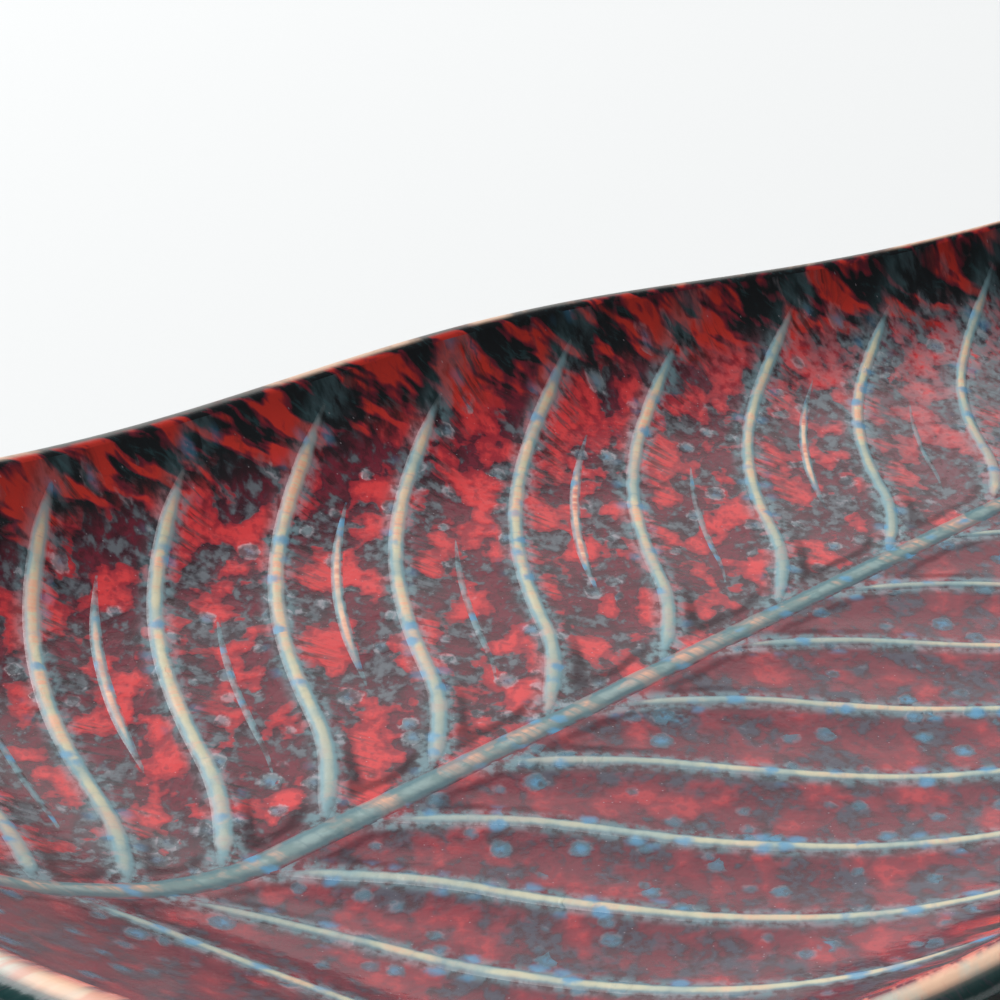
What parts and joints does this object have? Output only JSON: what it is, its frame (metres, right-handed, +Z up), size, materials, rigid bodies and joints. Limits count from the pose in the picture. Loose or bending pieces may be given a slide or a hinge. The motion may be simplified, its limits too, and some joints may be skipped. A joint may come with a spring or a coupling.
{
  "type": "leaf shaped plate",
  "caption": "Shallow leaf shaped serving plate in glazed stoneware, with an upturned rim, a raised midrib and curved side veins on its face, and a low foot ring below.",
  "frame": {"origin": "on the standing surface, below the middle of the plate's length and width", "axes": "+X along the midrib from the stem end to the tip, +Y to the left of that, +Z up"},
  "size_m": [0.308, 0.15, 0.0392],
  "materials": {
    "back_glaze": "satin dark teal glaze over stoneware, breaking tan on the lip",
    "bare_clay": "bare buff stoneware, ground flat",
    "rib_glaze": "satin pale blue grey glaze",
    "vein_glaze": "satin pale aqua and cream glaze",
    "fine_vein_glaze": "satin peach glaze",
    "face_glaze": "satin wine red reactive glaze with teal and blue flecks"
  },
  "bodies": {
    "root": {"leaf_body": "back_glaze", "foot_ring": "bare_clay", "midrib": "rib_glaze", "side_veins_left": "vein_glaze", "side_veins_right": "vein_glaze", "fine_veins_left": "fine_vein_glaze", "face_glaze_left": "face_glaze", "face_glaze_right": "face_glaze"}
  },
  "joints": []
}
